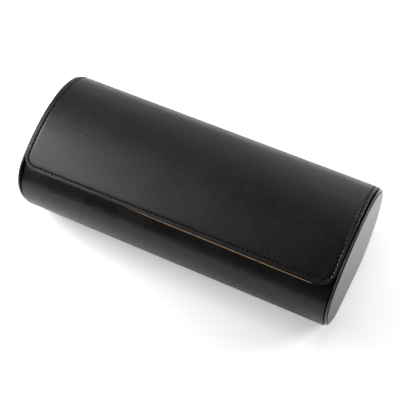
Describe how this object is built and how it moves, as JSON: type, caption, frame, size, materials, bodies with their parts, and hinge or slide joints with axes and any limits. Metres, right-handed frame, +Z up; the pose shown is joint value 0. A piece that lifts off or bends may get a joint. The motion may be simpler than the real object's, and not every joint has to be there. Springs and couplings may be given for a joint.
{
  "type": "watch travel case",
  "caption": "Oval black leather travel case for watches, with a wrap-over magnetic flap lid on a leather hinge and removable cushions inside.",
  "frame": {"origin": "middle of the flat base, at the surface the case rests on", "axes": "+X along the case, -Y towards the front where the flap ends, +Z up"},
  "size_m": [0.24, 0.104, 0.0828],
  "materials": {
    "black_leather": "smooth semi-gloss calf leather with a fine grain",
    "rim_leather": "turned edge leather, slightly glossier",
    "thread": "waxed black thread",
    "tan_suede": "tan microsuede lining",
    "greyboard": "moulded grey board",
    "foam": "light grey foam",
    "steel": "plain steel",
    "magnet": "nickel-plated magnet"
  },
  "bodies": {
    "case": {"body_leather": "black_leather", "body_board": "greyboard", "body_lining": "tan_suede", "lip_binding": "black_leather", "keeper_discs": "steel", "end_board_left": "greyboard", "end_board_right": "greyboard", "end_rim_left": "rim_leather", "end_rim_right": "rim_leather", "end_panel_left": "black_leather", "end_panel_right": "black_leather", "end_lining_left": "tan_suede", "end_lining_right": "tan_suede", "divider_board_left": "greyboard", "divider_board_right": "greyboard", "divider_suede_left": "tan_suede", "divider_suede_right": "tan_suede", "bed_left": "tan_suede", "bed_center": "tan_suede", "bed_right": "tan_suede", "hinge_leather": "black_leather", "hinge_lining": "tan_suede"},
    "lid": {"lid_leather": "black_leather", "lid_stiffener": "greyboard", "lid_lining": "tan_suede", "lid_stitching": "thread", "lid_magnets": "magnet"},
    "cushion_left": {"cushion_foam_left": "foam", "cushion_suede_left": "tan_suede", "cushion_ends_left": "tan_suede"},
    "cushion_center": {"cushion_foam_center": "foam", "cushion_suede_center": "tan_suede", "cushion_ends_center": "tan_suede"},
    "cushion_right": {"cushion_foam_right": "foam", "cushion_suede_right": "tan_suede", "cushion_ends_right": "tan_suede"}
  },
  "joints": [
    {"name": "lid_hinge", "type": "hinge", "parent": "case", "child": "lid", "pos_m": [0, 0.04779, 0.06155], "axis": [-1, 0, 0], "range_deg": [0, 160], "deforming": ["hinge_leather", "hinge_lining"]},
    {"name": "cushion_lift_left", "type": "slide", "parent": "case", "child": "cushion_left", "axis": [0, 0, 1], "range_m": [0, 0.015]},
    {"name": "cushion_lift_center", "type": "slide", "parent": "case", "child": "cushion_center", "axis": [0, 0, 1], "range_m": [0, 0.015]},
    {"name": "cushion_lift_right", "type": "slide", "parent": "case", "child": "cushion_right", "axis": [0, 0, 1], "range_m": [0, 0.015]}
  ]
}
